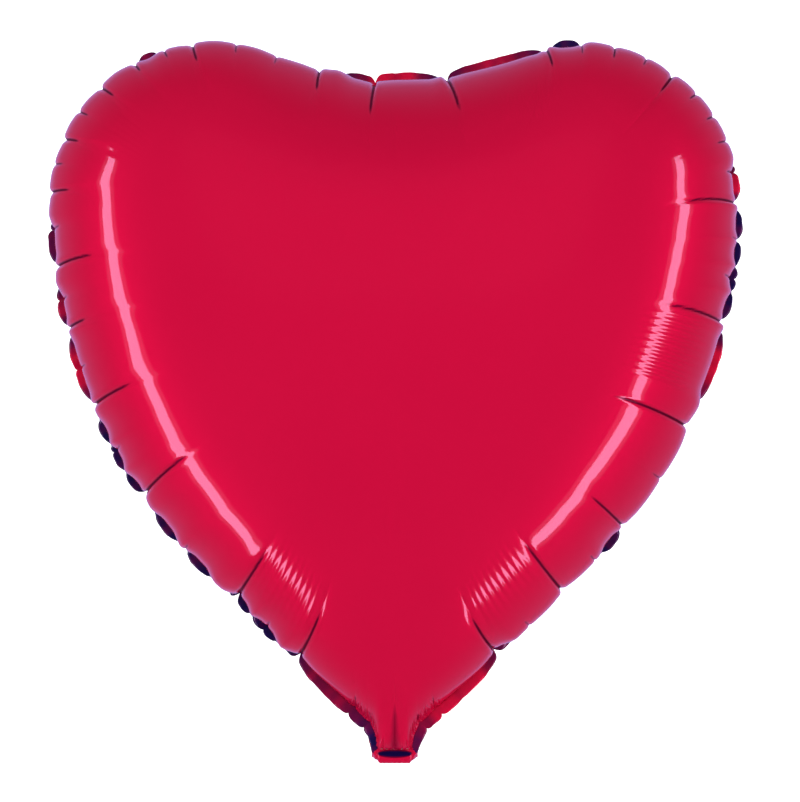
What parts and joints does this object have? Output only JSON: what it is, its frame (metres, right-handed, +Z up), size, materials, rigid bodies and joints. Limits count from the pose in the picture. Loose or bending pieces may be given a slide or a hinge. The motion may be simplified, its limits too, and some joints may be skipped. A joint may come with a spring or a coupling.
{
  "type": "foil balloon",
  "caption": "Inflated heart-shaped metallised foil balloon with a puckered welded rim, an inner film valve and a filling tail that folds up behind the neck.",
  "frame": {"origin": "middle of the neck on the seam plane, at the bottom of the inflated part, where a ribbon is tied round the flat neck", "axes": "+Z up through the dip between the lobes, +X to the viewer's right, -Y out of the front face towards the viewer; the two panels meet on the plane Y = 0"},
  "size_m": [0.3962, 0.168, 0.4136],
  "materials": {
    "foil_front": "vacuum-metallised polyester film, crimson, mirror-like with a clear gloss",
    "foil_rear": "vacuum-metallised polyester film, crimson, mirror-like with a clear gloss",
    "foil_weld": "the same film where two layers are heat sealed, slightly dulled by the sealing bar",
    "valve_film": "clear polyethylene film, glossy",
    "release_print": "heat-resistant print, matt pale blue"
  },
  "bodies": {
    "heart": {"front_panel": "foil_front", "rear_panel": "foil_rear", "rim_seal": "foil_weld", "valve_front_film": "valve_film", "valve_rear_film": "valve_film", "valve_edge_seals": "valve_film", "valve_release_print": "release_print", "fold_front_foil": "foil_front", "fold_rear_foil": "foil_rear", "fold_edge_seals": "foil_weld"},
    "tail": {"tail_front_foil": "foil_front", "tail_rear_foil": "foil_rear", "tail_edge_seals": "foil_weld", "inlet_front_film": "valve_film", "inlet_rear_film": "valve_film"}
  },
  "joints": [
    {"name": "tail_fold", "type": "hinge", "parent": "heart", "child": "tail", "pos_m": [0, 0.00613, -0.00614], "axis": [-1, 0, 0], "range_deg": [0, 136]}
  ]
}
